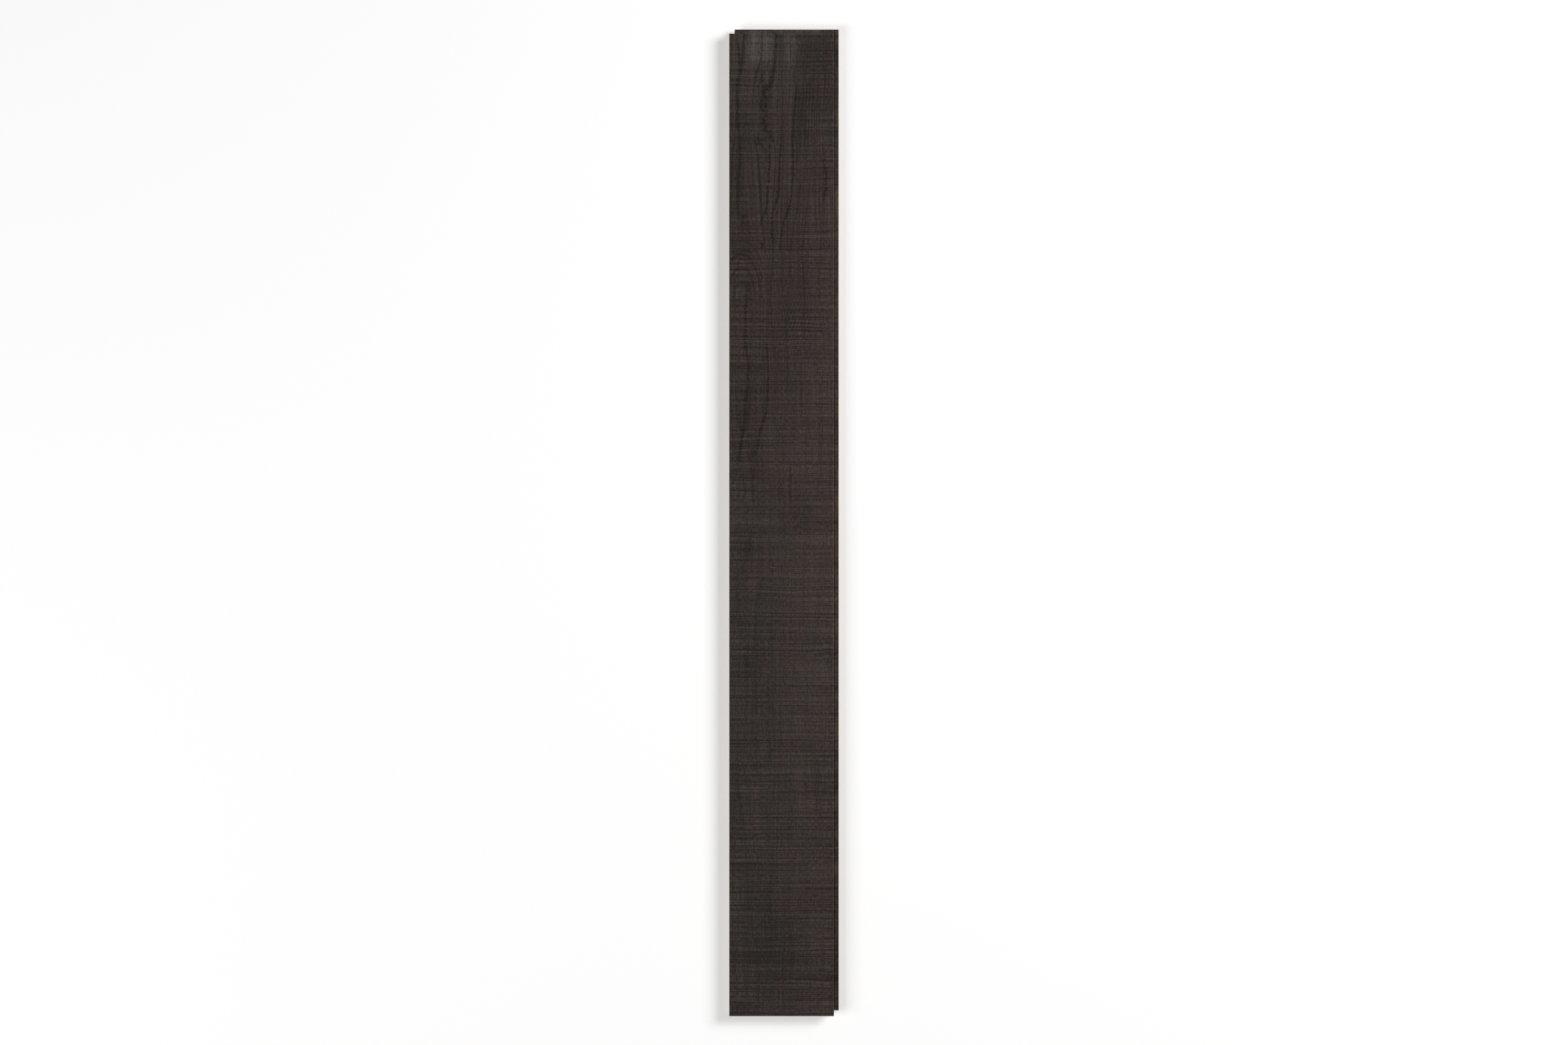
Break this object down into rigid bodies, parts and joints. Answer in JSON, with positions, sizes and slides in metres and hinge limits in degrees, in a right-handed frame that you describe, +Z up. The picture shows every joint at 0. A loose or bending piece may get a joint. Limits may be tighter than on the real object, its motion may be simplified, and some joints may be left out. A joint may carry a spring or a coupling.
{
  "type": "hardwood floorboard",
  "caption": "Solid tongue-and-groove hardwood floorboard, saw-textured and stained dark brown, with a micro-bevelled face and relief kerfs along its back.",
  "frame": {"origin": "on the underside, at the middle of the area that the laid board covers", "axes": "+Z up out of the face, +Y along the board towards the end tongue, +X across the board towards the long tongue"},
  "size_m": [0.136, 1.226, 0.019],
  "materials": {
    "stained_wood": "dark brown stain under a matt lacquer, with saw marks across the grain"
  },
  "bodies": {
    "root": {"floorboard": "stained_wood"}
  },
  "joints": []
}
